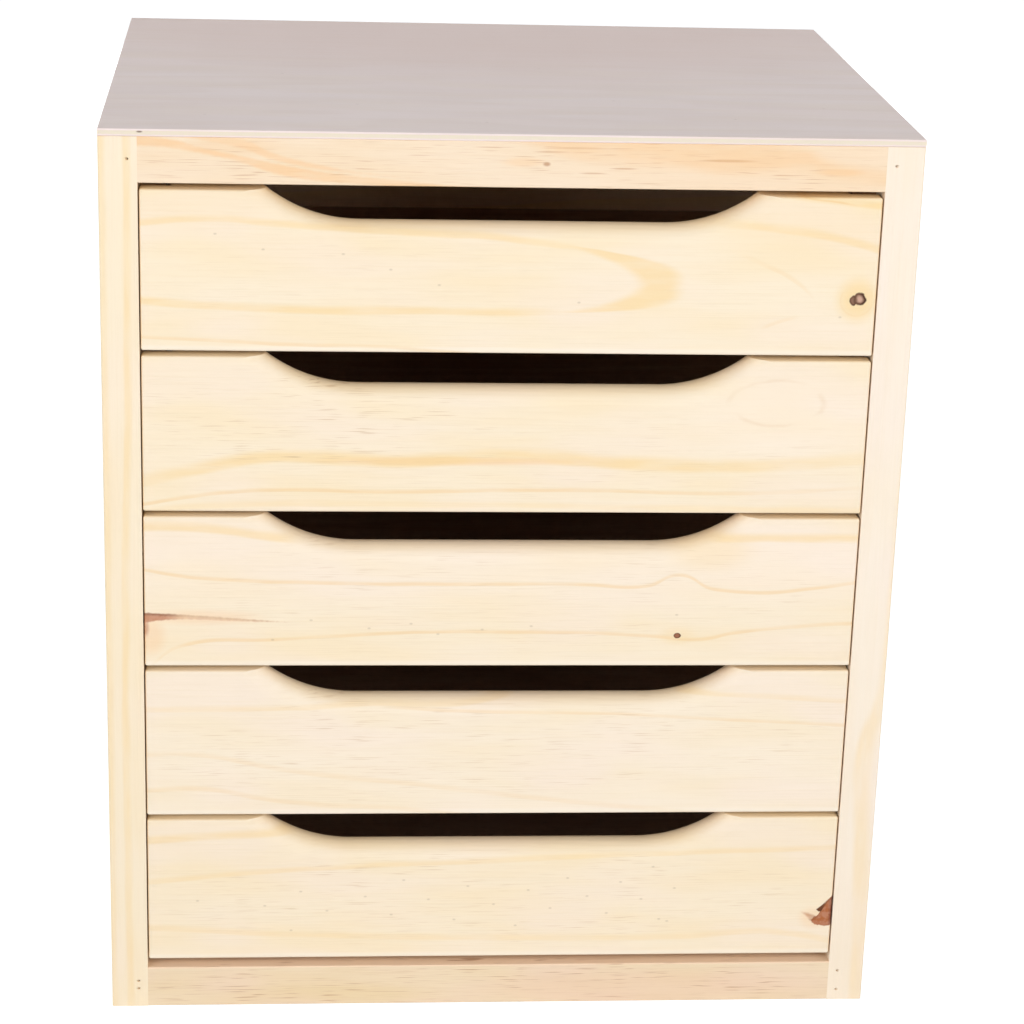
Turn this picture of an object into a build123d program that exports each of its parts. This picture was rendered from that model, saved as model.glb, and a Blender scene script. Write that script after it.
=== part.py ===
from build123d import *
import math
import os

# Desktop drawer unit in pine: an open-based case with inset drawers that slide on wooden runners.
# Millimetres. +Z is up, the drawers open towards -Y, and the origin is the centre of the base.

# Overall size
unit_width = 320.0
unit_depth = 255.0
unit_height = 375.0

# Case: side panels, four rails, plywood top and back
side_thickness = 15.0
rail_height = 18.0
rail_depth = 15.0
top_thickness = 3.0
back_thickness = 3.0
case_ease = 0.8
rail_ease = 0.5
top_ease = 0.4

# Drawer fronts and the gaps around them
drawer_count = 5
front_thickness = 15.0
front_lip = 7.0
front_ease = 1.0
side_gap = 0.5
top_gap = 2.4
between_gap = 2.2
bottom_gap = 4.0

# Finger-grip cut-out in the top edge of each front
grip_flat_width = 120.0
grip_depth = 12.6
grip_end_radius = 58.0
grip_edge_flat = 1.0
grip_end_turn = 70.0

# Drawer boxes behind the fronts
box_side_thickness = 12.0
box_back_thickness = 12.0
box_bottom_thickness = 3.0
box_ease = 1.0
rear_gap = 0.5

# Runner strips under the drawers, and kicker strips above the top one
strip_width = 10.0
strip_height = 10.0
strip_setback = 1.5
running_gap = 0.1
kick_gap = 1.2

# Brads: a shank with a small head, driven a little below the surface
brad_radius = 0.6
brad_head_radius = 1.0
brad_head_height = 0.6
brad_sink = 0.4
brad_clearance = 0.03
box_brad_length = 25.0
floor_brad_length = 15.0
strip_brad_length = 18.0
panel_brad_length = 15.0

# Headless pins, skewed from the side panels' edges into the rail ends
pin_radius = 0.5
pin_length = 18.0
pin_sink = 1.0
pin_inset = 4.0
pin_turn = 45.0

# Where pins and brads stand, as shares of the piece that they hold
top_left_pin_shares = (0.52,)
top_right_pin_shares = (0.58,)
bottom_left_pin_shares = (0.46, 0.66)
bottom_right_pin_shares = (0.27, 0.77)
strip_brad_shares = (0.1, 0.5, 0.9)
corner_brad_shares = (0.25, 0.75)
floor_side_brad_shares = (0.15, 0.5, 0.85)
floor_end_brad_shares = (-0.5, 0.5)
back_side_brad_shares = (0.14, 0.38, 0.62, 0.86)
back_rail_brad_shares = (-0.6, 0.0, 0.6)

# How far a cut runs past the face that it starts from
cut_overrun = 3.0

# Planes of the case
front_y = -unit_depth / 2
back_y = unit_depth / 2
case_back_y = back_y - back_thickness
case_height = unit_height - top_thickness
inner_x = unit_width / 2 - side_thickness
side_middle_x = inner_x + side_thickness / 2
top_rail_z = case_height - rail_height
opening_height = top_rail_z - rail_height

# Drawer layout: equal fronts fill the opening between the rails
closed_gaps = top_gap + bottom_gap + (drawer_count - 1) * between_gap
front_height = (opening_height - closed_gaps) / drawer_count
drawer_pitch = front_height + between_gap
box_x = inner_x - side_gap
box_inner_x = box_x - box_side_thickness
box_back_y = case_back_y - rear_gap
lip_y = front_y + front_lip
front_back_y = front_y + front_thickness
tongue_middle_y = (lip_y + front_back_y) / 2
back_middle_y = box_back_y - box_back_thickness / 2
box_wall_height = drawer_pitch - strip_height - running_gap - kick_gap

# Runner strips stand behind the front rails and end at the back rails
strip_front_y = front_y + rail_depth + strip_setback
strip_back_y = case_back_y - rail_depth
strip_inner_x = inner_x - strip_width

sides = {"left": -1, "right": 1}
rail_levels = {"top": top_rail_z, "bottom": 0}
rail_pin_shares = {
    "top": {"left": top_left_pin_shares, "right": top_right_pin_shares},
    "bottom": {"left": bottom_left_pin_shares, "right": bottom_right_pin_shares},
}
strip_numbers = range(drawer_count + 1)

os.makedirs("parts", exist_ok=True)


def drawer_z(number):
    """Height of the lower edge of a drawer's front; number 1 is the top drawer."""
    return rail_height + bottom_gap + (drawer_count - number) * drawer_pitch


def strip_top_z(number):
    """Height of a strip's upper face, just under its drawer; number 0 is the kicker."""
    return drawer_z(number) - running_gap


def board(x_range, y_range, z_range, mode=Mode.ADD):
    """Add a board that fills three ranges to the part being built, or cut it away."""
    (x0, x1), (y0, y1), (z0, z1) = x_range, y_range, z_range
    with BuildSketch(Plane.XY.offset(z0)) as outline:
        with Locations(((x0 + x1) / 2, (y0 + y1) / 2)):
            Rectangle(x1 - x0, y1 - y0)
    extrude(outline.sketch, amount=z1 - z0, mode=mode)


def ordered(first, second):
    """The two ends of a range, the lower one first."""
    return min(first, second), max(first, second)


def drill(spots, length, sink):
    """Cut the holes for brads into the part being built."""
    with Locations(*[spot.offset(cut_overrun) for spot in spots]):
        CounterBoreHole(
            radius=brad_radius + brad_clearance,
            counter_bore_radius=brad_head_radius + brad_clearance,
            counter_bore_depth=cut_overrun + sink + brad_head_height,
            depth=cut_overrun + sink + length,
        )


def brads(spots, length, sink):
    """Add brads to the part being built, each sunk below the plane that it is driven from."""
    top = (Align.CENTER, Align.CENTER, Align.MAX)
    with Locations(*[spot.offset(-sink) for spot in spots]):
        Cylinder(brad_head_radius, brad_head_height, align=top)
        Cylinder(brad_radius, length, align=top)


def drill_pins(spots):
    """Cut the slim holes for headless pins into the part being built."""
    with Locations(*[spot.offset(cut_overrun) for spot in spots]):
        Hole(radius=pin_radius + brad_clearance, depth=cut_overrun + pin_sink + pin_length)


def pins(spots):
    """Add headless pins to the part being built, sunk as brads are."""
    with Locations(*[spot.offset(-pin_sink) for spot in spots]):
        Cylinder(pin_radius, pin_length, align=(Align.CENTER, Align.CENTER, Align.MAX))


def save(piece, name):
    """Name a finished piece and write it."""
    piece.part.label = name
    export_step(piece.part, f"parts/{name}.step")


# Pin and brad places on the case


def rail_spots(side_name, level, from_front):
    """Pins through one edge of a side panel, skewed into the end of a rail."""
    side = sides[side_name]
    turn = math.radians(pin_turn)
    edge_y = front_y if from_front else case_back_y
    outward_y = -math.cos(turn) if from_front else math.cos(turn)
    outward = (side * math.sin(turn), outward_y, 0)
    x = side * (inner_x + pin_inset)
    return [
        Plane(origin=(x, edge_y, rail_levels[level] + share * rail_height), z_dir=outward)
        for share in rail_pin_shares[level][side_name]
    ]


def strip_spots(side, number):
    """Brads through a runner strip into the side panel."""
    z = strip_top_z(number) - strip_height / 2
    length = strip_back_y - strip_front_y
    x = side * strip_inner_x
    return [
        Plane(origin=(x, strip_front_y + share * length, z), z_dir=(-side, 0, 0))
        for share in strip_brad_shares
    ]


def back_side_spots(side):
    """Brads through the back panel into the back edge of a side panel."""
    x = side * side_middle_x
    return [
        Plane(origin=(x, back_y, share * case_height), z_dir=(0, 1, 0))
        for share in back_side_brad_shares
    ]


def back_rail_spots(rail_z):
    """Brads through the back panel into a back rail, whose lower face is at rail_z."""
    z = rail_z + rail_height / 2
    return [
        Plane(origin=(share * inner_x, back_y, z), z_dir=(0, 1, 0))
        for share in back_rail_brad_shares
    ]


# Case pieces

for side_name, side in sides.items():
    with BuildPart() as side_panel:
        board(ordered(side * inner_x, side * unit_width / 2), (front_y, case_back_y), (0, case_height))
        front_edges = side_panel.edges().filter_by(Axis.Z).group_by(Axis.Y)[0]
        fillet(front_edges.sort_by(lambda edge: abs(edge.center().X))[-1], case_ease)
        for level in rail_levels:
            for from_front in (True, False):
                drill_pins(rail_spots(side_name, level, from_front))
        for number in strip_numbers:
            drill(strip_spots(side, number), strip_brad_length, brad_sink)
        drill(back_side_spots(side), panel_brad_length, brad_sink)
    save(side_panel, f"{side_name}_side_panel")

for level, rail_z in rail_levels.items():
    for place, from_front in (("front", True), ("back", False)):
        rail_y = front_y if from_front else case_back_y - rail_depth
        with BuildPart() as rail:
            board((-inner_x, inner_x), (rail_y, rail_y + rail_depth), (rail_z, rail_z + rail_height))
            fillet(rail.edges().filter_by(Axis.X).group_by(Axis.Y)[0], rail_ease)
            for side_name in sides:
                drill_pins(rail_spots(side_name, level, from_front))
            if not from_front:
                drill(back_rail_spots(rail_z), panel_brad_length, brad_sink)
        save(rail, f"{level}_{place}_rail")

with BuildPart() as top_panel:
    board((-unit_width / 2, unit_width / 2), (front_y, back_y), (case_height, unit_height))
    flat_faces = top_panel.faces().filter_by(Axis.Z)
    fillet(flat_faces.edges(), top_ease)
save(top_panel, "top_panel")

with BuildPart() as back_panel:
    board((-unit_width / 2, unit_width / 2), (case_back_y, back_y), (0, case_height))
    for side in sides.values():
        drill(back_side_spots(side), panel_brad_length, brad_sink)
    for rail_z in rail_levels.values():
        drill(back_rail_spots(rail_z), panel_brad_length, brad_sink)
save(back_panel, "back_panel")

for side_name, side in sides.items():
    for number in strip_numbers:
        strip_z = strip_top_z(number)
        with BuildPart() as strip:
            board(
                ordered(side * strip_inner_x, side * inner_x),
                (strip_front_y, strip_back_y),
                (strip_z - strip_height, strip_z),
            )
            drill(strip_spots(side, number), strip_brad_length, brad_sink)
        save(strip, f"{side_name}_runner_{number}" if number else f"{side_name}_kicker")

with BuildPart() as rail_brads:
    for side_name in sides:
        for level in rail_levels:
            for from_front in (True, False):
                pins(rail_spots(side_name, level, from_front))
save(rail_brads, "rail_brads")

with BuildPart() as runner_brads:
    for side in sides.values():
        for number in strip_numbers:
            brads(strip_spots(side, number), strip_brad_length, brad_sink)
save(runner_brads, "runner_brads")

with BuildPart() as back_panel_brads:
    for side in sides.values():
        brads(back_side_spots(side), panel_brad_length, brad_sink)
    for rail_z in rail_levels.values():
        brads(back_rail_spots(rail_z), panel_brad_length, brad_sink)
save(back_panel_brads, "back_panel_brads")


# Brad places on a drawer


def corner_spots(side, bottom_z):
    """Brads through a box side into the ends of the front and the back."""
    wall_bottom_z = bottom_z + box_bottom_thickness
    wall_height = box_wall_height - box_bottom_thickness
    return [
        Plane(origin=(side * box_x, y, wall_bottom_z + share * wall_height), z_dir=(side, 0, 0))
        for y in (tongue_middle_y, back_middle_y)
        for share in corner_brad_shares
    ]


def floor_spots(bottom_z):
    """Brads up through the box bottom into the sides, the front and the back."""
    down = (0, 0, -1)
    side_x = box_x - box_side_thickness / 2
    side_length = box_back_y - lip_y
    along_sides = [
        Plane(origin=(side * side_x, lip_y + share * side_length, bottom_z), z_dir=down)
        for side in sides.values()
        for share in floor_side_brad_shares
    ]
    along_ends = [
        Plane(origin=(share * box_inner_x, y, bottom_z), z_dir=down)
        for y in (tongue_middle_y, back_middle_y)
        for share in floor_end_brad_shares
    ]
    return along_sides + along_ends


# Drawer pieces

for number in range(1, drawer_count + 1):
    drawer = f"drawer_{number}"
    bottom_z = drawer_z(number)
    front_top_z = bottom_z + front_height
    wall_top_z = bottom_z + box_wall_height
    floor_z = bottom_z + box_bottom_thickness
    left_spots = corner_spots(sides["left"], bottom_z)
    right_spots = corner_spots(sides["right"], bottom_z)

    # The router's path: a rounded section drawn along the flat and turned up at both ends
    grip_z = front_top_z - grip_depth
    grip_end_x = grip_flat_width / 2
    rounding = (front_thickness - grip_edge_flat) / 2
    grip_top_z = front_top_z + cut_overrun
    with BuildPart() as grip_path:
        with BuildSketch(Plane.YZ.offset(grip_end_x)) as grip_section:
            with BuildLine():
                Polyline(
                    (front_y, grip_z - rounding),
                    (front_y - cut_overrun, grip_z - rounding),
                    (front_y - cut_overrun, grip_top_z),
                    (front_back_y + cut_overrun, grip_top_z),
                    (front_back_y + cut_overrun, grip_z - rounding),
                    (front_back_y, grip_z - rounding),
                )
                RadiusArc((front_y, grip_z - rounding), (front_y + rounding, grip_z), rounding)
                Line((front_y + rounding, grip_z), (front_back_y - rounding, grip_z))
                RadiusArc((front_back_y - rounding, grip_z), (front_back_y, grip_z - rounding), rounding)
            make_face()
        end_axis = Axis((grip_end_x, 0, grip_z + grip_end_radius), (0, -1, 0))
        revolve(grip_section.sketch, axis=end_axis, revolution_arc=grip_end_turn)
        extrude(grip_section.sketch, amount=-grip_end_x)
        mirror(about=Plane.YZ)

    with BuildPart() as drawer_front:
        board((-box_x, box_x), (front_y, front_back_y), (bottom_z, front_top_z))
        eased = drawer_front.faces().sort_by(Axis.Y)[0].edges() + drawer_front.edges().filter_by(Axis.Y)
        fillet(eased, front_ease)
        for side in sides.values():
            board(
                ordered(side * box_inner_x, side * (box_x + cut_overrun)),
                (lip_y, front_back_y + cut_overrun),
                (bottom_z - cut_overrun, front_top_z + cut_overrun),
                Mode.SUBTRACT,
            )
        board(
            (-box_x - cut_overrun, box_x + cut_overrun),
            (lip_y, front_back_y + cut_overrun),
            (bottom_z - cut_overrun, floor_z),
            Mode.SUBTRACT,
        )
        add(grip_path.part, mode=Mode.SUBTRACT)
        drill(left_spots + right_spots, box_brad_length, brad_sink)
        drill(floor_spots(bottom_z), floor_brad_length, brad_sink)
    save(drawer_front, f"{drawer}_front")

    for side_name, side in sides.items():
        with BuildPart() as box_side:
            board(ordered(side * box_inner_x, side * box_x), (lip_y, box_back_y), (floor_z, wall_top_z))
            fillet(box_side.faces().sort_by(Axis.Z)[-1].edges().filter_by(Axis.Y), box_ease)
            drill(corner_spots(side, bottom_z), box_brad_length, brad_sink)
            drill(floor_spots(bottom_z), floor_brad_length, brad_sink)
        save(box_side, f"{drawer}_{side_name}_side")

    with BuildPart() as box_back:
        board(
            (-box_inner_x, box_inner_x),
            (box_back_y - box_back_thickness, box_back_y),
            (floor_z, wall_top_z),
        )
        fillet(box_back.faces().sort_by(Axis.Z)[-1].edges().filter_by(Axis.X), box_ease)
        drill(left_spots + right_spots, box_brad_length, brad_sink)
        drill(floor_spots(bottom_z), floor_brad_length, brad_sink)
    save(box_back, f"{drawer}_back")

    with BuildPart() as box_bottom:
        board((-box_x, box_x), (lip_y, box_back_y), (bottom_z, floor_z))
        drill(floor_spots(bottom_z), floor_brad_length, brad_sink)
    save(box_bottom, f"{drawer}_bottom")

    with BuildPart() as drawer_brads:
        brads(left_spots + right_spots, box_brad_length, brad_sink)
        brads(floor_spots(bottom_z), floor_brad_length, brad_sink)
    save(drawer_brads, f"{drawer}_brads")
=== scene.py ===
import math
from collections import namedtuple

import bpy
from mathutils import Matrix, Vector


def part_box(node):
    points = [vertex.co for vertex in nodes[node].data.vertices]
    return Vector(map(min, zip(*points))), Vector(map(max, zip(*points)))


# Looks for the pine drawer unit: materials on the CAD nodes, a pale floor, soft light and the camera.
# Metres, in the CAD frame. Wood patterns are laid out in millimetres on each board.

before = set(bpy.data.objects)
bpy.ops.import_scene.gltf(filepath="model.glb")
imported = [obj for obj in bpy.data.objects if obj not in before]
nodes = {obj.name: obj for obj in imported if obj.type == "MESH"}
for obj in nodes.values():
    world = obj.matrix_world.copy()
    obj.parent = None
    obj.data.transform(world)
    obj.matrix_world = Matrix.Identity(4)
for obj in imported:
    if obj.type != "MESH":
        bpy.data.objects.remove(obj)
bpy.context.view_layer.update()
mm_per_m = 1000.0

# Camera: a long lens above the left front, turned a little about its own axis
sensor_width = 36.0
lens_length = 100.723
camera_place = Vector((-0.08822, -1.2116, 0.5961))
camera_aim = Vector((0.0027, -0.1275, 0.2214))
camera_roll = math.radians(1.78)

# Studio: soft boxes around the unit and a pale floor just under it
Lamp = namedtuple("Lamp", "place width height power")
lamps = {
    "left_box": Lamp((-1.5, -1.7, 0.95), 1.4, 1.2, 23.4),
    "right_box": Lamp((1.5, -1.7, 0.95), 1.4, 1.2, 23.4),
    "rear_box": Lamp((0.0, 2.2, 1.3), 2.4, 1.2, 5.4),
    "low_rear_box": Lamp((0.0, 2.2, 0.3), 2.0, 0.5, 7.0),
}
lamp_aim = Vector((0.0, 0.0, 0.18))
ambient_strength = 0.3
floor_size = 14.0
floor_drop = 0.0002
floor_tone = 0.8
floor_glow = 0.72


def paint(red, green, blue):
    """A colour given as it looks on screen, from 0 to 255, as the linear colour that shaders use."""
    shares = [value / 255 for value in (red, green, blue)]
    return tuple(s / 12.92 if s <= 0.04045 else ((s + 0.055) / 1.055) ** 2.4 for s in shares) + (1.0,)


# Shader building blocks


class Field:
    """A number or colour that varies over a surface, as an output socket that sums can be written with."""

    def __init__(self, shader, socket):
        self.shader = shader
        self.socket = socket

    def __add__(self, other):
        return self.shader.math("ADD", self, other)

    def __sub__(self, other):
        return self.shader.math("SUBTRACT", self, other)

    def __mul__(self, other):
        return self.shader.math("MULTIPLY", self, other)

    def __truediv__(self, other):
        return self.shader.math("DIVIDE", self, other)


class Shader:
    """A material in the making, with short calls for the nodes that it is built from."""

    mix_factor, mix_a, mix_b, mix_result = 0, 6, 7, 2

    def __init__(self, name):
        self.material = bpy.data.materials.new(name)
        self.material.use_nodes = True
        self.tree = self.material.node_tree
        self.tree.nodes.clear()

    def node(self, kind, inputs=None, **settings):
        """A new node with its settings made and its inputs linked or set."""
        node = self.tree.nodes.new(kind)
        for setting, value in settings.items():
            setattr(node, setting, value)
        for name, value in (inputs or {}).items():
            if isinstance(value, Field):
                self.tree.links.new(value.socket, node.inputs[name])
            else:
                node.inputs[name].default_value = value
        return node

    def field(self, node, output):
        return Field(self, node.outputs[output])

    def math(self, operation, *values):
        node = self.node("ShaderNodeMath", dict(enumerate(values)), operation=operation)
        return self.field(node, 0)

    def vector(self, operation, *values):
        node = self.node("ShaderNodeVectorMath", dict(enumerate(values)), operation=operation)
        return self.field(node, 0)

    def split(self, vector):
        """The three parts of a vector, by the letter of their axis."""
        node = self.node("ShaderNodeSeparateXYZ", {0: vector})
        return {axis: self.field(node, axis) for axis in "XYZ"}

    def join(self, x, y, z):
        return self.field(self.node("ShaderNodeCombineXYZ", {0: x, 1: y, 2: z}), 0)

    def mix(self, share, below, above, blend="MIX"):
        """The colour above laid over the one below by a share from 0 to 1."""
        inputs = {self.mix_factor: share, self.mix_a: below, self.mix_b: above}
        node = self.node("ShaderNodeMix", inputs, data_type="RGBA", blend_type=blend, clamp_factor=True)
        return self.field(node, self.mix_result)

    def smooth(self, value, start, end, low=0.0, high=1.0):
        """A soft step from low to high while the value goes from start to end."""
        inputs = {"Value": value, "From Min": start, "From Max": end, "To Min": low, "To Max": high}
        node = self.node("ShaderNodeMapRange", inputs, interpolation_type="SMOOTHSTEP")
        return self.field(node, "Result")

    def curve(self, value, points):
        """A smooth curve through a few points, with both of its axes running from 0 to 1."""
        node = self.node("ShaderNodeFloatCurve", {"Value": value})
        curve = node.mapping.curves[0]
        curve.points[0].location = points[0]
        curve.points[1].location = points[-1]
        for x, y in points[1:-1]:
            curve.points.new(x, y)
        node.mapping.update()
        return self.field(node, "Value")

    def noise(self, place, size, detail=2.0, shift=0.0):
        """Noise whose grains have this size in mm along, across and through the board."""
        scale = [1 / length for length in size]
        stretched = self.vector("MULTIPLY_ADD", place.vector, scale, (shift, shift, shift))
        inputs = {"Vector": stretched, "Scale": 1.0, "Detail": detail}
        return self.field(self.node("ShaderNodeTexNoise", inputs), "Fac")

    def swing(self, place, size, depth):
        """Noise that swings to both sides of zero, over this depth in all."""
        return (self.noise(place, size) - noise_middle) * depth

    def distance(self, first, second):
        node = self.node("ShaderNodeVectorMath", {0: first, 1: second}, operation="DISTANCE")
        return self.field(node, "Value")

    def chance(self, number):
        """A steady random share from 0 to 1 for each whole number."""
        node = self.node("ShaderNodeTexWhiteNoise", {"W": number}, noise_dimensions="1D")
        return self.field(node, "Value")

    def finish(self, colour, roughness, height, bump_depth, specular, metallic=0.0):
        """Join the layers in a surface shader with a fine relief."""
        bump = self.node("ShaderNodeBump", {"Height": height, "Distance": bump_depth})
        inputs = {
            "Base Color": colour,
            "Metallic": metallic,
            "Roughness": roughness,
            "Specular IOR Level": specular,
            "Normal": self.field(bump, "Normal"),
        }
        surface = self.node("ShaderNodeBsdfPrincipled", inputs)
        output = self.node("ShaderNodeOutputMaterial")
        self.tree.links.new(surface.outputs["BSDF"], output.inputs["Surface"])
        return self.material


class Place:
    """Where a point lies on a board, in mm: along the grain, across it and through its thickness.

    On a board of its own, x counts from the unit's middle, y from the board's front, z from its lower edge.
    """

    curve_margin = 25.0

    def __init__(self, shader, axes, node=None):
        self.shader = shader
        origin = Vector((0.0, 0.0, 0.0))
        if node:
            low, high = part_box(node)
            origin = Vector((0.0, low.y, low.z))
            axis_numbers = ["XYZ".index(axis) for axis in axes]
            spans = [((low - origin)[n] * mm_per_m, (high - origin)[n] * mm_per_m) for n in axis_numbers]
            self.along_span = spans[0]
            self.across_span = (spans[1][0] - self.curve_margin, spans[1][1] + self.curve_margin)
        coordinates = shader.node("ShaderNodeTexCoord")
        moved = shader.vector("SUBTRACT", shader.field(coordinates, "Object"), origin)
        in_mm = shader.split(shader.vector("MULTIPLY", moved, (mm_per_m, mm_per_m, mm_per_m)))
        self.along, self.across, self.through = [in_mm[axis] for axis in axes]
        facing = shader.split(shader.field(coordinates, "Normal"))
        self.upward = facing["Z"]
        self.end_facing = shader.math("ABSOLUTE", facing[axes[0]])
        self.vector = shader.join(self.along, self.across, self.through)

    def shift_along(self, distance):
        """Draw the board from another part of the tree."""
        self.vector = self.shader.join(self.along + distance, self.across, self.through)

    def height(self, points):
        """How far across the board a smooth curve through points runs, at this point's place along it."""
        (start, end), (low, high) = self.along_span, self.across_span
        shares = [((x - start) / (end - start), (z - low) / (high - low)) for x, z in points]
        return self.shader.curve((self.along - start) / (end - start), shares) * (high - low) + low

    def distance(self, spot):
        """Distance from the middle of an oval, as a share of its half length and half height."""
        off_along = (self.along - spot.along) / spot.half_length
        off_across = (self.across - spot.across) / spot.half_height
        return self.shader.math("SQRT", off_along * off_along + off_across * off_across)


# Tones of the woods
Tones = namedtuple("Tones", "pale warm pink fibre")


def wood(pale, warm, pink, fibre):
    """The four tones of a wood, each given as it looks on screen."""
    return Tones(paint(*pale), paint(*warm), paint(*pink), paint(*fibre))


front_tones = wood((251, 236, 211), (251, 233, 202), (251, 235, 216), (243, 222, 188))
cream_tones = wood((252, 238, 217), (251, 235, 209), (252, 236, 220), (244, 225, 195))
top_rail_tones = wood((249, 229, 204), (248, 225, 195), (248, 227, 200), (239, 208, 171))
bottom_rail_tones = wood((242, 222, 192), (240, 218, 184), (242, 217, 194), (226, 197, 163))
left_side_tones = wood((251, 236, 210), (251, 233, 202), (252, 236, 214), (243, 222, 188))
right_side_tones = wood((252, 239, 222), (251, 236, 215), (252, 238, 225), (245, 228, 202))
# The drawer boxes' pine is darker and redder than the fronts: partly the wood, partly painted shade for their
# dim insides
shade_darkened_box_tones = wood((247, 219, 190), (244, 212, 179), (246, 213, 188), (226, 187, 150))
ply_tones = wood((246, 231, 228), (245, 229, 222), (247, 231, 228), (237, 219, 212))
ply_core_tone = paint(237, 226, 204)
lauan_tones = wood((186, 152, 128), (178, 142, 118), (184, 148, 126), (152, 114, 94))
lauan_core_tone = paint(206, 172, 138)
honey_tone = paint(248, 215, 150)
pale_tone = paint(255, 241, 230)
brown_tone = paint(243, 206, 145)
peach_tone = paint(247, 200, 150)
rust_tone = paint(190, 122, 86)
tick_tone = paint(206, 172, 132)
speck_tone = paint(150, 128, 100)
end_grain_tone = paint(242, 222, 198)
# Painted shade for the fronts: multiplies upward-facing surfaces, the grip's rounded edge and the top edges,
# warmer and a little darker
grip_upward_shade_tone = paint(255, 249, 238)
knot_tone = paint(128, 92, 72)
knot_rim_tone = paint(66, 36, 20)
knot_centre_tone = paint(212, 172, 150)
cream_front_number = 4

# Size in mm of what varies along, across and through a board, and how strongly it shows
patch_size = (90.0, 16.0, 16.0)
blush_size = (60.0, 22.0, 22.0)
blush_strength = 0.7
fibre_size = (38.0, 0.8, 1.2)
fibre_strength = 0.22
tick_size = (16.0, 0.5, 3.0)
tick_patch_size = (46.0, 9.0, 9.0)
ring_bend_size = (120.0, 24.0, 24.0)
ring_bend = 9.0
wobble_size = (30.0, 9.0, 9.0)
wobble_depth = 1.4
break_size = (26.0, 5.0, 5.0)
loop_break_size = (16.0, 9.0, 9.0)
knot_ragged_size = (2.2, 2.2, 2.2)
knot_ragged = 0.7
ply_pores = 0.15
lauan_pores = 0.6
noise_middle = 0.5

# Relief in metres, and how rough and shiny the wood is
grain_depth = 0.00006
pine_roughness = (0.5, 0.68)
ply_roughness = (0.48, 0.62)
wood_specular = 0.25

# Marks on one board, in mm. Ranges called start and end are where a mark fades in and out along the board.
# A line follows points, and an arch is a growth ring that turns back at its tip.
# A spot is an oval. A streak lies between two curves, and runs from its body's tone to its tail's.
Line = namedtuple("Line", "points width strength start end", defaults=(None, None))
Arch = namedtuple("Arch", "tip across rise bluntness spread depth strength end")
Spot = namedtuple("Spot", "along across half_length half_height strength tone")
streak_parts = "upper lower body tail body_at tail_at rim soft strength ragged"
usual_soft, usual_strength, usual_ragged = 0.25, 1.0, 0.8
Streak = namedtuple("Streak", streak_parts, defaults=(usual_soft, usual_strength, usual_ragged))
mark_kinds = "honey brown arches stains loops knots streaks ticks specks"
Marks = namedtuple("Marks", mark_kinds, defaults=[()] * len(mark_kinds.split()))

# Painted highlight: a paler strip along the lower edge of a front
lower_edge_highlight = Spot(0.0, 0.8, 900.0, 2.2, 0.5, paint(254, 244, 228))

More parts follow.
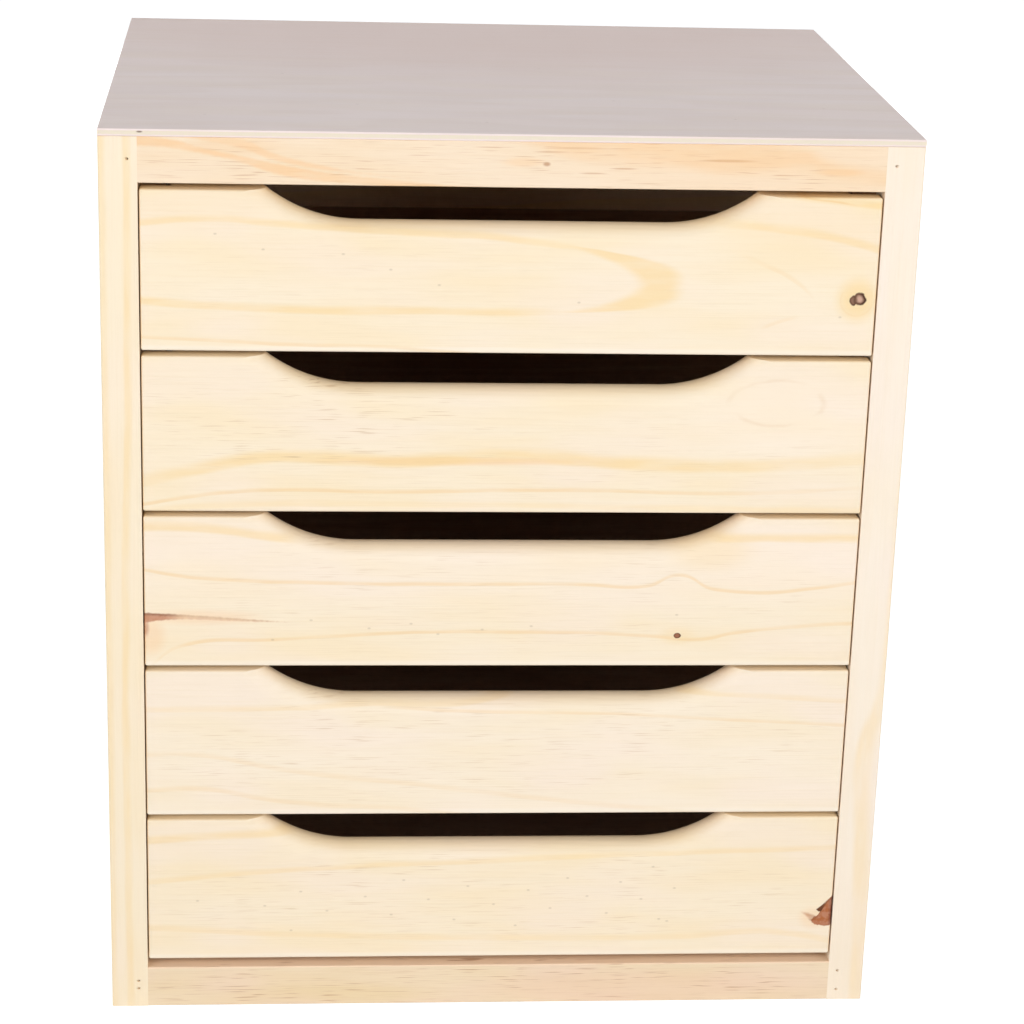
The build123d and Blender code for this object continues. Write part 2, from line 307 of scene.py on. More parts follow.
front_marks = {
    1: Marks(
        honey=[
            Line(
                [
                    (-144, 50.8), (-117, 52.6), (-92, 51), (-62, 48.8),
                    (-31, 47.6), (-11, 46.9), (8, 44.8), (30, 42.5),
                ],
                2.6, 0.45, end=(14, 30),
            ),
            Line(
                [(-144, 19.7), (-109, 17.6), (-50, 16.6), (-30, 16.8), (-14, 16.4), (20, 17)],
                3.0, 0.55, end=(-10, 25),
            ),
            Line([(80, 53), (108, 50.8), (121, 49), (134, 46), (144, 43.2)], 3.4, 0.45, start=(74, 100)),
            Line([(100, 66), (115, 64), (128, 62.5), (144, 61)], 3.4, 0.6, start=(98, 118)),
        ],
        brown=[
            Line([(-144, 5.5), (-112, 4), (-93, 3), (-56, 2.5), (-20, 0), (0, -2)], 1.4, 0.4),
            Line(
                [(80, 44.5), (98, 37.5), (111, 31), (119, 24), (130, 10)],
                2.0, 0.2, start=(84, 104), end=(114, 121),
            ),
            Line([(100, 11.5), (112, 15.5), (120, 17)], 1.5, 0.18, start=(98, 103), end=(110, 115)),
            Line(
                [(105, 66), (115, 63.8), (128, 62), (144, 59.5)],
                0.8, 1.0, start=(108, 116), end=(128, 136),
            ),
        ],
        arches=[
            Arch(
                tip=67.5, across=28.0, rise=0.05, bluntness=770.0,
                spread=6.0, depth=17.0, strength=0.58, end=(8, 40),
            ),
        ],
        stains=[
            lower_edge_highlight,
            Spot(-120.0, 62.0, 60.0, 18.0, 0.14, honey_tone),
            Spot(-40.0, 38.0, 80.0, 22.0, 0.07, honey_tone),
            Spot(118.0, 54.0, 60.0, 24.0, 0.15, honey_tone),
            Spot(137.0, 23.2, 11.0, 12.0, 0.6, honey_tone),
        ],
        loops=[Spot(136.8, 23.2, 6.4, 6.6, 0.2, brown_tone)],
        knots=[Spot(135.4, 22.8, 1.4, 2.1, 0.1, knot_tone), Spot(137.9, 23.4, 2.4, 2.6, 0.9, knot_tone)],
        ticks=[Spot(-60.0, 30.0, 95.0, 26.0, 0.12, tick_tone)],
        specks=[(-115.5, 47), (-97, 41), (-66, 39.5), (-47.5, 33.5), (-28.5, 27.5), (26.5, 21), (130.5, 16)],
    ),
    2: Marks(
        honey=[
            Line(
                [
                    (-144, 12.5), (-112, 19.5), (-97, 22.3), (-44, 21),
                    (7, 23.3), (40, 21), (97, 19.5), (144, 23),
                ],
                5.2, 0.6, start=(-180, -105), end=(40, 220),
            ),
            Line([(-144, 0), (-114, 2.5), (-17, 3), (60, 2), (144, 1)], 2.4, 0.3),
        ],
        brown=[
            Line(
                [(-144, 3), (-112, 8), (-97, 9), (-55, 8.5), (21, 9.5), (97, 8.5), (144, 11)],
                1.5, 0.48, end=(20, 200),
            ),
        ],
        stains=[
            Spot(-20.0, 21.6, 75.0, 2.4, 0.4, peach_tone),
            Spot(112.0, 38.0, 60.0, 24.0, 0.35, pale_tone),
        ],
        loops=[Spot(107.5, 46.5, 19.0, 9.6, 0.3, paint(234, 206, 172))],
        ticks=[Spot(-85.0, 40.0, 80.0, 24.0, 0.5, tick_tone), Spot(20.0, 22.0, 150.0, 22.0, 0.2, tick_tone)],
    ),
    3: Marks(
        honey=[
            Line([(-144, 59.4), (-125, 59.4), (-93, 55.3), (-74, 52.5)], 3.6, 0.5, end=(-92, -78)),
            Line([(78, 54.5), (101, 55.5), (120, 55.3), (144, 55.4)], 3.4, 0.5, start=(78, 92)),
        ],
        brown=[
            Line(
                [
                    (-144, 41.5), (-123, 38), (-74, 36), (32, 35.5),
                    (59, 35), (72, 39.7), (86, 33.5), (144, 36.5),
                ],
                1.5, 0.46,
            ),
            Line(
                [
                    (-139, 3), (-127, 9.5), (-93, 11.5), (-35, 14.5), (23, 14.5),
                    (64, 13), (82, 11.5), (96, 14.5), (144, 18.5),
                ],
                1.5, 0.46, start=(-150, -122),
            ),
        ],
        stains=[
            lower_edge_highlight,
            Spot(0.0, 46.0, 400.0, 26.0, 0.3, pale_tone),
            Spot(118.0, 45.0, 60.0, 24.0, 0.25, pale_tone),
            Spot(84.0, 51.0, 24.0, 13.0, 0.26, honey_tone),
            Spot(72.2, 13.3, 10.0, 5.0, 0.22, honey_tone),
            Spot(-142.0, 13.0, 8.0, 11.0, 0.35, peach_tone),
            Spot(-122.0, 21.2, 32.0, 4.5, 0.3, peach_tone),
            Spot(-144.5, 16.5, 2.6, 5.0, 0.6, rust_tone),
        ],
        knots=[Spot(72.2, 13.3, 1.5, 1.1, 0.1, paint(150, 94, 66))],
        streaks=[
            Streak(
                upper=[(-144.5, 23.1), (-131, 22.5), (-120, 21.7), (-110, 21.0), (-99, 20.1), (-88, 19.2)],
                lower=[(-144.5, 18.9), (-138, 19.9), (-131, 20.3), (-110, 19.7), (-99, 19.4), (-88, 19.2)],
                body=paint(202, 144, 112), tail=paint(243, 210, 174), body_at=-138.0, tail_at=-126.0,
                rim=0.4, soft=0.4,
            ),
        ],
        ticks=[Spot(0.0, 34.0, 160.0, 34.0, 0.25, tick_tone)],
        specks=[
            (-77.5, 20), (-37, 18.5), (-93, 11.5), (-8, 16),
            (12, 17.5), (-26, 14), (-54, 16.5), (71.5, 22.5),
        ],
    ),
    4: Marks(
        honey=[
            Line([(-144, 47), (-73, 48), (-52, 49), (-17, 49), (20, 54), (89, 53.5), (144, 50.5)], 2.2, 0.3),
        ],
        brown=[
            Line([(-144, 27), (-130, 27.5), (-87, 20), (-44, 14.5), (25, 6), (80, 0), (144, -6)], 2.2, 0.19),
            Line([(-144, 11), (-122, 11.5), (-87, 5.5), (-41, 2.5), (0, -2), (144, -15)], 2.0, 0.25),
            Line([(-60, 49), (-11, 46), (44, 45), (93, 42.5), (144, 39.5)], 1.4, 0.3, start=(-60, -30)),
        ],
        stains=[lower_edge_highlight],
        ticks=[Spot(-40.0, 30.0, 120.0, 30.0, 0.4, tick_tone), Spot(70.0, 34.0, 80.0, 22.0, 0.3, tick_tone)],
    ),
    5: Marks(
        honey=[
            Line(
                [(-144, 54.5), (-106, 57), (-92, 57.5), (-60, 58), (100, 60), (144, 62)],
                3.4, 0.45, end=(-95, -75),
            ),
            Line(
                [(-144, 35.5), (-102, 39.5), (-64, 42), (0, 44.5), (30, 46), (104, 48.5), (144, 50)],
                2.4, 0.34,
            ),
            Line([(-144, 14.5), (-75, 10.5), (20, 8.5), (80, 8.5), (116, 10.5), (144, 6)], 2.8, 0.28),
        ],
        stains=[
            lower_edge_highlight,
            Spot(136.5, 17.0, 8.0, 7.0, 0.3, peach_tone),
        ],
        streaks=[
            Streak(
                upper=[(130, 19.6), (133.5, 19.4), (136.5, 18.4), (139, 17)],
                lower=[(130, 21.2), (133.5, 18.2), (136, 15.6), (139, 14.6)],
                body=paint(206, 146, 104), tail=paint(166, 98, 64), body_at=132.0, tail_at=137.5,
                rim=0.0, soft=0.8, strength=0.9,
            ),
            # This streak is the knot's own colour, and its tail at the very right end is painted shade from
            # the side gap
            Streak(
                upper=[(135, 15.8), (137.4, 17.6), (139, 18.8), (140.6, 22.8), (142.6, 25.4), (144.5, 27.5)],
                lower=[(135, 16.2), (136.6, 15), (138.4, 13.7), (144.5, 13.4)],
                body=paint(174, 102, 60), tail=paint(118, 52, 26), body_at=142.8, tail_at=144.4,
                rim=0.25, ragged=2.4,
            ),
            Streak(
                upper=[(137.8, 20.9), (139.4, 22.3), (141, 24), (143, 26), (144.5, 27.6)],
                lower=[(137.8, 21.1), (139.6, 20), (141, 22), (143, 25.2), (144.5, 27.4)],
                body=paint(104, 58, 30), tail=paint(165, 106, 68), body_at=140.0, tail_at=144.0,
                rim=0.0, soft=0.3,
            ),
        ],
        ticks=[Spot(0.0, 28.0, 160.0, 26.0, 0.4, tick_tone)],
        specks=[
            (-124, 27), (-96, 24.5), (-85, 13), (-81, 31), (-70, 22), (-54, 28.5), (-43, 20), (-38, 36),
            (-27.5, 27), (-16.5, 17.5), (-11, 33), (0, 24.5), (9.5, 14.5), (14.5, 31), (24, 22.5), (31, 36.5),
            (39.5, 28), (48, 20), (53.5, 34.5), (62.5, 26.5), (67, 41.5), (70.5, 17), (74, 16), (76.5, 31.5),
        ],
    ),
}

rail_peach_tone = paint(247, 207, 160)
rail_tick_tone = paint(202, 150, 108)
top_rail_marks = Marks(
    stains=[
        Spot(-108.0, 15.0, 24.0, 6.0, 0.3, rail_peach_tone),
        Spot(3.0, 10.0, 11.0, 2.6, 0.4, rail_peach_tone),
        Spot(12.0, 9.4, 2.0, 1.2, 0.75, paint(196, 146, 108)),
        Spot(100.0, 9.0, 90.0, 30.0, 0.17, rail_peach_tone),
        Spot(127.0, 7.6, 12.0, 2.0, 0.6, rail_peach_tone),
        Spot(24.0, 15.8, 16.0, 0.6, 0.5, rail_tick_tone),
        Spot(14.0, 14.2, 9.0, 0.5, 0.5, rail_tick_tone),
        Spot(42.0, 8.0, 7.0, 0.45, 0.6, rail_tick_tone),
        Spot(30.0, 6.0, 7.0, 0.45, 0.5, rail_tick_tone),
        Spot(83.0, 11.6, 15.0, 0.8, 0.8, rail_tick_tone),
    ],
    streaks=[
        Streak(
            upper=[(-145, 18.6), (-132, 17), (-122, 14.4), (-108, 11.4), (-88, 7.4), (-68, 4.4), (145, -8)],
            lower=[(-145, 14.6), (-132, 13.8), (-122, 12.2), (-108, 9.2), (-88, 3.4), (-68, 1.2), (145, -9)],
            body=rail_peach_tone, tail=rail_peach_tone, body_at=-145.0, tail_at=-60.0,
            rim=0.0, soft=0.8, strength=0.8,
        ),
        Streak(
            upper=[(-120, 19.5), (-105, 17.4), (-94, 12.6), (-76, 8), (-58, 5), (145, -8)],
            lower=[(-120, 17), (-105, 14), (-94, 10), (-76, 6.2), (-58, 4.6), (145, -9)],
            body=rail_peach_tone, tail=rail_peach_tone, body_at=-145.0, tail_at=-60.0,
            rim=0.0, soft=0.8, strength=0.62,
        ),
        Streak(
            upper=[(-145, 22), (100, 22), (111, 18), (122, 12), (145, 7.5)],
            lower=[
                (-145, 24), (-5, 20), (7, 16.8), (30, 11), (65, 9),
                (79, 7), (105, 7.6), (122, 6), (145, 3),
            ],
            body=rail_peach_tone, tail=rail_peach_tone, body_at=0.0, tail_at=145.0,
            rim=0.0, soft=3.2, strength=0.6,
        ),
    ],
    ticks=[Spot(0.0, 9.0, 200.0, 14.0, 0.6, rail_tick_tone)],
)
bottom_rail_marks = Marks(
    stains=[
        Spot(60.0, 6.0, 90.0, 12.0, 0.35, paint(238, 200, 174)),
        Spot(-70.0, 5.0, 60.0, 6.0, 0.3, paint(232, 208, 160)),
        # Painted shade: the rail's top face and upper edge, shaded under drawer 5, are tinted redder
        Spot(0.0, 18.0, 900.0, 0.7, 0.9, paint(253, 223, 193)),
    ],
    ticks=[Spot(0.0, 9.0, 200.0, 14.0, 0.8, paint(190, 146, 112))],
)
left_side_marks = Marks(
    honey=[
        Line([(0, -152.5), (200, -152), (250, -150.5), (372, -149.5)], 2.8, 0.42),
        Line([(0, -159.5), (200, -159), (372, -159)], 2.8, 0.34),
    ],
)
right_side_marks = Marks(
    honey=[
        Line(
            [(0, 157.5), (57, 155.5), (95, 153), (114, 152.6), (145, 159.6), (191, 161.5), (372, 163)],
            7.0, 0.34,
        ),
    ],
)
top_panel_marks = Marks(
    stains=[Spot(0.0, 255.0, 300.0, 190.0, 0.9, paint(239, 216, 209))],
    specks=[(-120, 30), (-60, 55), (-10, 22), (45, 70), (90, 35), (130, 60), (-90, 120), (20, 140)],
)
top_core_marks = Marks(stains=[Spot(-144.0, 1.9, 1.6, 0.6, 1.0, paint(150, 132, 116))])


# Layers of wood. Masks run from 0 to 1, and a fade is where a soft step starts and ends.


def pine_ground(shader, place, tones):
    """Pale wood: soft patches of three tones, and fine fibres along the grain."""
    patch_fade = (0.35, 0.65)
    blush_fade = (0.42, 0.7)
    fibre_fade = (0.4, 0.8)
    patches = shader.smooth(shader.noise(place, patch_size), *patch_fade)
    blush = shader.smooth(shader.noise(place, blush_size, detail=1.0, shift=7.0), *blush_fade)
    fibres = shader.smooth(shader.noise(place, fibre_size, detail=3.0), *fibre_fade)
    colour = shader.mix(patches, tones.pale, tones.warm)
    colour = shader.mix(blush * blush_strength, colour, tones.pink)
    return shader.mix(fibres * fibre_strength, colour, tones.fibre), fibres


def ring_mask(shader, place, pith_across, pith_through, lean, spacing):
    """How dark a year's growth is, around a pith line that leans away along the board."""
    late_growth_fade = (0.25, 0.85)
    year_end_fade = (1.0, 0.9)
    off_across = place.across - pith_across - place.along * lean
    off_through = place.through - pith_through
    radius = shader.math("SQRT", off_across * off_across + off_through * off_through)
    radius = radius + shader.swing(place, ring_bend_size, ring_bend)
    year = shader.math("FRACT", radius / spacing)
    return shader.smooth(year, *late_growth_fade) * shader.smooth(year, *year_end_fade)


def line_mask(shader, place, line, wobble):
    """How strongly a growth line shows: soft above, sharper below, and faded at its ends."""
    upper_fade = (1.0, 0.15)
    lower_fade = (-0.6, -0.15)
    off_line = (place.across + wobble - place.height(line.points)) / line.width
    mask = shader.smooth(off_line, *upper_fade) * shader.smooth(off_line, *lower_fade, 0.0, line.strength)
    if line.start:
        mask = mask * shader.smooth(place.along, *line.start)
    if line.end:
        mask = mask * shader.smooth(place.along, line.end[1], line.end[0])
    return mask


def arch_mask(shader, place, arch, wobble):
    """A growth ring that turns back on itself: a blunt curve outside and a lying parabola inside."""
    outer_fade = (-2.0, 6.0)
    inner_fade = (4.0, -4.0)
    behind = place.along * -1.0 + arch.tip
    off_axis = place.across - arch.across - behind * arch.rise + wobble
    squared = off_axis * off_axis
    outside = behind - squared * squared / arch.bluntness
    inside = behind - squared / arch.spread - arch.depth
    mask = shader.smooth(outside, *outer_fade) * shader.smooth(inside, *inner_fade)
    return mask * shader.smooth(place.along, *arch.end, 0.0, arch.strength)


def loop_mask(shader, place, loop, wobble):
    """A thin oval ring, broken into pieces."""
    ring_width_share = 0.11
    wobble_share = 0.12
    piece_fade = (0.4, 0.6)
    off_ring = shader.math("ABSOLUTE", place.distance(loop) - 1.0 + wobble * wobble_share)
    pieces = shader.smooth(shader.noise(place, loop_break_size, shift=5.0), *piece_fade, 0.0, loop.strength)
    return shader.smooth(off_ring, ring_width_share, 0.0) * pieces


def tick_mask(shader, place, zone):
    """Short dashes along the grain, thicker in patches, inside an oval zone."""
    dash_fade = (0.58, 0.74)
    patch_fade = (0.4, 0.6)
    least_shown = 0.2
    zone_fade = (1.1, 0.6)
    dashes = shader.smooth(shader.noise(place, tick_size, detail=1.0), *dash_fade)
    patch_noise = shader.noise(place, tick_patch_size, detail=1.0, shift=11.0)
    patches = shader.smooth(patch_noise, *patch_fade, least_shown, 1.0)
    return dashes * patches * shader.smooth(place.distance(zone), *zone_fade, 0.0, zone.strength)


def speck_mask(shader, place, specks):
    """Small dots, drawn out a little along the grain."""
    squeeze = 0.6
    dot_fade = (0.6, 0.15)
    dot_strength = 0.26
    flat = shader.join(place.along * squeeze, place.across, 0.0)
    nearest = None
    for along, across in specks:
        distance = shader.distance(flat, (along * squeeze, across, 0.0))
        nearest = shader.math("MINIMUM", nearest, distance) if nearest else distance
    return shader.smooth(nearest, *dot_fade, 0.0, dot_strength)


def lay_knot(shader, place, colour, knot):
    """A ragged knot: brown, with a rim that is darkest on the right, and by its strength a paler heart."""
    edge_fade = (1.15, 0.85)
    rim_inner_fade = (0.6, 0.8)
    rim_outer_fade = (1.15, 0.9)
    heart_fade = (0.75, 0.2)
    right_half_fade = (-0.3, 0.6)
    left_rim_strength = 0.45
    right_rim_gain = 0.5
    distance = place.distance(knot) + shader.swing(place, knot_ragged_size, knot_ragged)
    right_half = shader.smooth((place.along - knot.along) / knot.half_length, *right_half_fade)
    rim = shader.smooth(distance, *rim_inner_fade) * shader.smooth(distance, *rim_outer_fade)
    colour = shader.mix(shader.smooth(distance, *edge_fade), colour, knot.tone)
    colour = shader.mix(rim * (right_half * right_rim_gain + left_rim_strength), colour, knot_rim_tone)
    return shader.mix(shader.smooth(distance, *heart_fade) * knot.strength, colour, knot_centre_tone)


def lay_streak(shader, place, colour, streak, breaks):
    """A stain, bark or resin streak between two ragged curves.

    One with a rim is mottled, and darker along its upper edge. One without is broken up as growth lines are.
    """
    mottle_fade = (0.35, 0.65)
    mottle_strength = 0.3
    rim_fade = (1.6, 0.4)
    tail_rim_share = 0.3
    mottle = shader.noise(place, knot_ragged_size)
    ragged = (mottle - noise_middle) * streak.ragged
    below_top = place.height(streak.upper) - place.across + ragged
    above_bottom = place.across - place.height(streak.lower) + ragged
    edge_fade = (-streak.soft, streak.soft)
    inside = shader.smooth(below_top, *edge_fade)
    inside = inside * shader.smooth(above_bottom, *edge_fade, 0.0, streak.strength)
    tail = shader.smooth(place.along, streak.body_at, streak.tail_at)
    tone = shader.mix(tail, streak.body, streak.tail)
    if not streak.rim:
        return shader.mix(inside * breaks, colour, tone)
    tone = shader.mix(shader.smooth(mottle, *mottle_fade, 0.0, mottle_strength), tone, knot_centre_tone)
    rim_strength = shader.smooth(tail, 0.0, 1.0, streak.rim, streak.rim * tail_rim_share)
    tone = shader.mix(shader.smooth(below_top, *rim_fade) * rim_strength, tone, knot_rim_tone)
    return shader.mix(inside, colour, tone)


def lay_marks(shader, place, colour, marks):
    """Lay a board's own marks over its ground colour."""
    stain_fade = (1.0, 0.3)
    break_fade = (0.3, 0.6)
    least_shown = 0.55
    wobble = shader.swing(place, wobble_size, wobble_depth)
    breaks = shader.smooth(shader.noise(place, break_size, shift=3.0), *break_fade, least_shown, 1.0)
    for stain in marks.stains:
        inside = shader.smooth(place.distance(stain), *stain_fade, 0.0, stain.strength)
        colour = shader.mix(inside, colour, stain.tone)
    for arch in marks.arches:
        colour = shader.mix(arch_mask(shader, place, arch, wobble) * breaks, colour, honey_tone)
    for tone, lines in ((honey_tone, marks.honey), (brown_tone, marks.brown)):
        for line in lines:
            colour = shader.mix(line_mask(shader, place, line, wobble) * breaks, colour, tone)
    for loop in marks.loops:
        colour = shader.mix(loop_mask(shader, place, loop, wobble), colour, loop.tone)
    for zone in marks.ticks:
        colour = shader.mix(tick_mask(shader, place, zone), colour, zone.tone)
    for streak in marks.streaks:
        colour = lay_streak(shader, place, colour, streak, breaks)
    for knot in marks.knots:
        colour = lay_knot(shader, place, colour, knot)
    if marks.specks:
        colour = shader.mix(speck_mask(shader, place, marks.specks), colour, speck_tone)
    return colour


def finish_pine(shader, place, colour, fibres):
    """End grain a shade warmer, and a satin surface with raised fibres."""
    end_grain_fade = (0.5, 0.9)
    colour = shader.mix(shader.smooth(place.end_facing, *end_grain_fade), colour, end_grain_tone, "MULTIPLY")
    roughness = shader.smooth(fibres, 0.0, 1.0, *pine_roughness)
    return shader.finish(colour, roughness, fibres, grain_depth, wood_specular)


# Materials


def marked_pine(name, node, tones, marks, upward_shade_tone=None):
    """A board with grain along the unit's width and the marks that the photograph shows.

    The tone given for upward faces is painted shade: surfaces that face upward, such as the rounded grip
    edges and the top edges seen in the gaps, turn warmer and a little darker by how far they face up.
    """
    upward_fade = (0.4, 1.0)
    shader = Shader(name)
    place = Place(shader, "XZY", node)
    colour, fibres = pine_ground(shader, place, tones)
    colour = lay_marks(shader, place, colour, marks)
    # Painted shade: upward-facing surfaces are warmed and darkened by how far they face up
    if upward_shade_tone:
        colour = shader.mix(shader.smooth(place.upward, *upward_fade), colour, upward_shade_tone, "MULTIPLY")
    return finish_pine(shader, place, colour, fibres)


def plain_pine(name, axes, tones):
    """Pine for boards inside and behind, with flat-sawn growth rings."""
    ring_strength = 0.35
    shader = Shader(name)
    place = Place(shader, axes)
    colour, fibres = pine_ground(shader, place, tones)
    rings = ring_mask(shader, place, pith_across=-18.0, pith_through=35.0, lean=0.05, spacing=11.0)
    colour = shader.mix(rings * ring_strength, colour, honey_tone)
    return finish_pine(shader, place, colour, fibres)


def side_pine(side, tones, marks):
    """A side panel glued up from staves, each with rings of its own, and the marks on its front edge."""
    stave_width = 63.0
    stave_shift = 900.0
    pith_spread = 60.0
    lean_spread = 0.12
    ring_spacing = 13.0
    ring_strength = 0.32
    dark_stave_strength = 0.3
    joint_fade = (0.35, 0.1)
    joint_strength = 0.5
    front_edge_fade = (1.2, 0.6)
    shader = Shader(f"pine_{side}_side")
    broad = Place(shader, "ZYX", f"{side}_side_panel")
    stave_share = broad.across / stave_width
    stave = shader.math("FLOOR", stave_share)
    luck = shader.chance(stave + 0.5)
    broad.shift_along(luck * stave_shift)
    colour, fibres = pine_ground(shader, broad, tones)
    rings = ring_mask(
        shader,
        broad,
        pith_across=(stave + luck) * stave_width,
        pith_through=(luck - 0.5) * pith_spread,
        lean=(luck - 0.5) * lean_spread,
        spacing=ring_spacing,
    )
    colour = shader.mix(rings * ring_strength, colour, honey_tone)
    colour = shader.mix(luck * dark_stave_strength, colour, tones.fibre)
    off_joint = shader.math("ABSOLUTE", shader.math("FRACT", stave_share + 0.5) - 0.5) * stave_width
    colour = shader.mix(shader.smooth(off_joint, *joint_fade, 0.0, joint_strength), colour, brown_tone)
    front_edge = Place(shader, "ZXY", f"{side}_side_panel")
    edge_colour = pine_ground(shader, front_edge, tones)[0]
    edge_colour = lay_marks(shader, front_edge, edge_colour, marks)
    colour = shader.mix(shader.smooth(front_edge.through, *front_edge_fade), colour, edge_colour)
    return finish_pine(shader, broad, colour, fibres)


def plywood(name, axes, node, tones, core_tone, pore_strength, marks=Marks(), core_marks=Marks()):
    """Thin plywood: a rotary-cut veneer with a soft wavy figure, and its core showing along the edges."""
    figure_size = (260.0, 46.0, 40.0)
    figure_rings = 7.0
    figure_strength = 0.25
    wave_fade = (0.2, 0.8)
    wave_end_fade = (1.0, 0.9)
    pore_size = (5.0, 0.4, 2.0)
    pore_fade = (0.6, 0.7)
    veneer_thickness = 0.75
    veneer_blur = 0.1
    fleck_size = (1.2, 1.2, 0.6)
    fleck_fade = (0.35, 0.7)
    fleck_strength = 0.4
    shader = Shader(name)
    place = Place(shader, axes, node)
    colour, fibres = pine_ground(shader, place, tones)
    figure = shader.math("FRACT", shader.noise(place, figure_size, detail=1.0) * figure_rings)
    waves = shader.smooth(figure, *wave_fade) * shader.smooth(figure, *wave_end_fade)
    colour = shader.mix(waves * figure_strength, colour, tones.fibre)
    pores = shader.smooth(shader.noise(place, pore_size, detail=1.0), *pore_fade, 0.0, pore_strength)
    colour = shader.mix(pores, colour, tones.fibre)
    colour = lay_marks(shader, place, colour, marks)
    low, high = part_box(node)
    half_thickness = (high - low)["XYZ".index(axes[2])] * mm_per_m / 2
    half_core = half_thickness - veneer_thickness
    off_middle = shader.math("ABSOLUTE", place.through - half_thickness)
    in_core = shader.smooth(off_middle, half_core + veneer_blur, half_core - veneer_blur)
    flecks = shader.smooth(shader.noise(place, fleck_size, detail=3.0), *fleck_fade)
    core = shader.mix(flecks * fleck_strength, core_tone, tones.fibre)
    core = lay_marks(shader, Place(shader, "XZY", node), core, core_marks)
    colour = shader.mix(in_core, colour, core)
    roughness = shader.smooth(fibres, 0.0, 1.0, *ply_roughness)
    return shader.finish(colour, roughness, fibres, grain_depth, wood_specular)


def steel():
    """Bright drawn wire, dulled in patches."""
    bright_tone = paint(172, 170, 166)
    dull_tone = paint(118, 110, 100)
    dull_size = (1.6, 1.6, 1.6)
    dull_fade = (0.4, 0.65)
    roughness_range = (0.28, 0.5)
    specular = 0.5
    shader = Shader("steel_brads")
    dull = shader.smooth(shader.noise(Place(shader, "XYZ"), dull_size, detail=3.0), *dull_fade)
    colour = shader.mix(dull, bright_tone, dull_tone)
    roughness = shader.smooth(dull, 0.0, 1.0, *roughness_range)
    return shader.finish(colour, roughness, dull, grain_depth, specular, metallic=1.0)


def dress(name, material):
    """Give a CAD node its material."""
    slots = nodes[name].data.materials
    slots.clear()
    slots.append(material)


for number, marks in front_marks.items():
    front = f"drawer_{number}_front"
    front_wood = cream_tones if number == cream_front_number else front_tones
    dress(front, marked_pine(f"pine_front_{number}", front, front_wood, marks, grip_upward_shade_tone))
    bottom = f"drawer_{number}_bottom"
    dress(bottom, plywood(f"lauan_{number}", "XYZ", bottom, lauan_tones, lauan_core_tone, lauan_pores))

rail_woods = {"top": (top_rail_tones, top_rail_marks), "bottom": (bottom_rail_tones, bottom_rail_marks)}
for level, (rail_tones, rail_marks) in rail_woods.items():
    rail = f"{level}_front_rail"
    dress(rail, marked_pine(f"pine_{level}_rail", rail, rail_tones, rail_marks))

dress("left_side_panel", side_pine("left", left_side_tones, left_side_marks))
dress("right_side_panel", side_pine("right", right_side_tones, right_side_marks))

top_plywood = plywood(
    "plywood_top", "XYZ", "top_panel", ply_tones, ply_core_tone, ply_pores, top_panel_marks, top_core_marks
)
dress("top_panel", top_plywood)
dress("back_panel", plywood("plywood_back", "ZXY", "back_panel", ply_tones, ply_core_tone, ply_pores))

back_rail_pine = plain_pine("pine_back_rail", "XZY", top_rail_tones)
box_back_pine = plain_pine("pine_box_back", "XZY", shade_darkened_box_tones)
box_side_pine = plain_pine("pine_box_side", "YZX", shade_darkened_box_tones)
brad_steel = steel()
for name in nodes:
    if name.endswith("brads"):
        dress(name, brad_steel)
    elif name.endswith("back_rail"):
        dress(name, back_rail_pine)
    elif name.endswith("_back"):
        dress(name, box_back_pine)
    elif name.endswith("_side") or "runner" in name or "kicker" in name:
        dress(name, box_side_pine)


# Stage, light and camera


def shown_directly(tree):
    """1 for rays that show the stage itself: from the camera, off a glossy surface or through glass."""
    path = tree.nodes.new("ShaderNodeLightPath")
    first = tree.nodes.new("ShaderNodeMath")
    first.operation = "MAXIMUM"
    tree.links.new(path.outputs["Is Camera Ray"], first.inputs[0])
    tree.links.new(path.outputs["Is Glossy Ray"], first.inputs[1])
    both = tree.nodes.new("ShaderNodeMath")
    both.operation = "MAXIMUM"
    tree.links.new(first.outputs[0], both.inputs[0])
    tree.links.new(path.outputs["Is Transmission Ray"], both.inputs[1])
    return both.outputs[0]


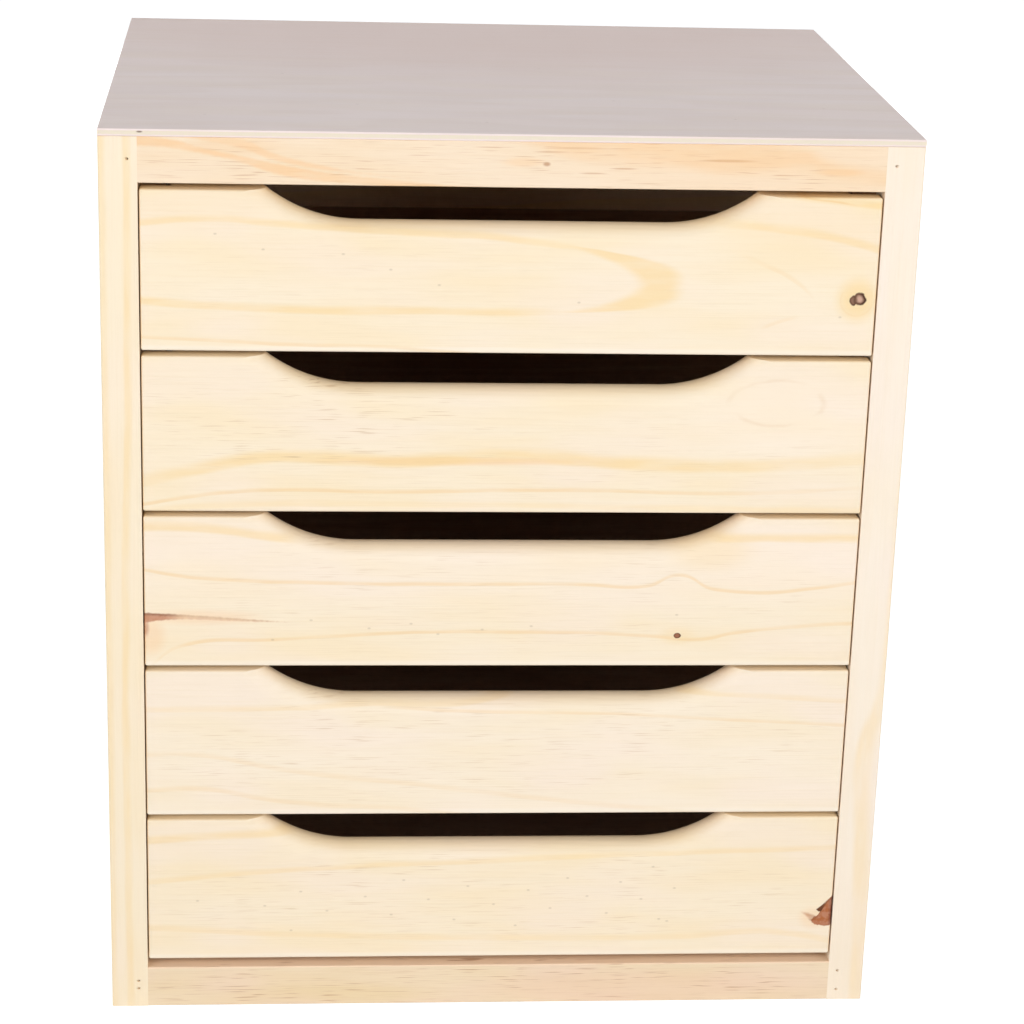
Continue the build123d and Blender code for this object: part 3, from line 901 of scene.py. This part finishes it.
def make_floor():
    """A wide pale floor that shows white and keeps the unit's shadow."""
    half = floor_size / 2
    corners = [(x, y, -floor_drop) for x, y in ((-half, -half), (half, -half), (half, half), (-half, half))]
    mesh = bpy.data.meshes.new("floor")
    mesh.from_pydata(corners, [], [(0, 1, 2, 3)])
    floor = bpy.data.objects.new("floor", mesh)
    bpy.context.scene.collection.objects.link(floor)
    shader = Shader("floor")
    shown = Field(shader, shown_directly(shader.tree))
    diffuse = shader.node("ShaderNodeBsdfDiffuse", {"Color": (floor_tone, floor_tone, floor_tone, 1.0)})
    glow = shader.node("ShaderNodeEmission", {"Strength": shown * floor_glow})
    both = shader.node("ShaderNodeAddShader", {0: shader.field(diffuse, 0), 1: shader.field(glow, 0)})
    shader.node("ShaderNodeOutputMaterial", {"Surface": shader.field(both, 0)})
    mesh.materials.append(shader.material)


def make_lamps():
    """Soft boxes that face the unit."""
    for name, lamp in lamps.items():
        data = bpy.data.lights.new(name, "AREA")
        data.shape = "RECTANGLE"
        data.size = lamp.width
        data.size_y = lamp.height
        data.energy = lamp.power
        box = bpy.data.objects.new(name, data)
        box.location = lamp.place
        box.rotation_euler = (lamp_aim - Vector(lamp.place)).to_track_quat("-Z", "Y").to_euler()
        bpy.context.scene.collection.objects.link(box)


def make_world():
    """Even light from all round, shown white."""
    world = bpy.data.worlds.new("studio")
    world.use_nodes = True
    bpy.context.scene.world = world
    tree = world.node_tree
    tree.nodes.clear()
    strength = tree.nodes.new("ShaderNodeMapRange")
    strength.inputs["To Min"].default_value = ambient_strength
    tree.links.new(shown_directly(tree), strength.inputs["Value"])
    background = tree.nodes.new("ShaderNodeBackground")
    background.inputs["Color"].default_value = (1.0, 1.0, 1.0, 1.0)
    tree.links.new(strength.outputs["Result"], background.inputs["Strength"])
    output = tree.nodes.new("ShaderNodeOutputWorld")
    tree.links.new(background.outputs[0], output.inputs["Surface"])


def make_camera():
    """The photograph's viewpoint."""
    data = bpy.data.cameras.new("camera")
    data.sensor_width = sensor_width
    data.lens = lens_length
    camera = bpy.data.objects.new("camera", data)
    facing = (camera_aim - camera_place).to_track_quat("-Z", "Y").to_matrix()
    turned = facing @ Matrix.Rotation(camera_roll, 3, "Z")
    camera.matrix_world = Matrix.Translation(camera_place) @ turned.to_4x4()
    bpy.context.scene.collection.objects.link(camera)
    bpy.context.scene.camera = camera


make_floor()
make_lamps()
make_world()
make_camera()
bpy.context.scene.view_settings.view_transform = "Standard"
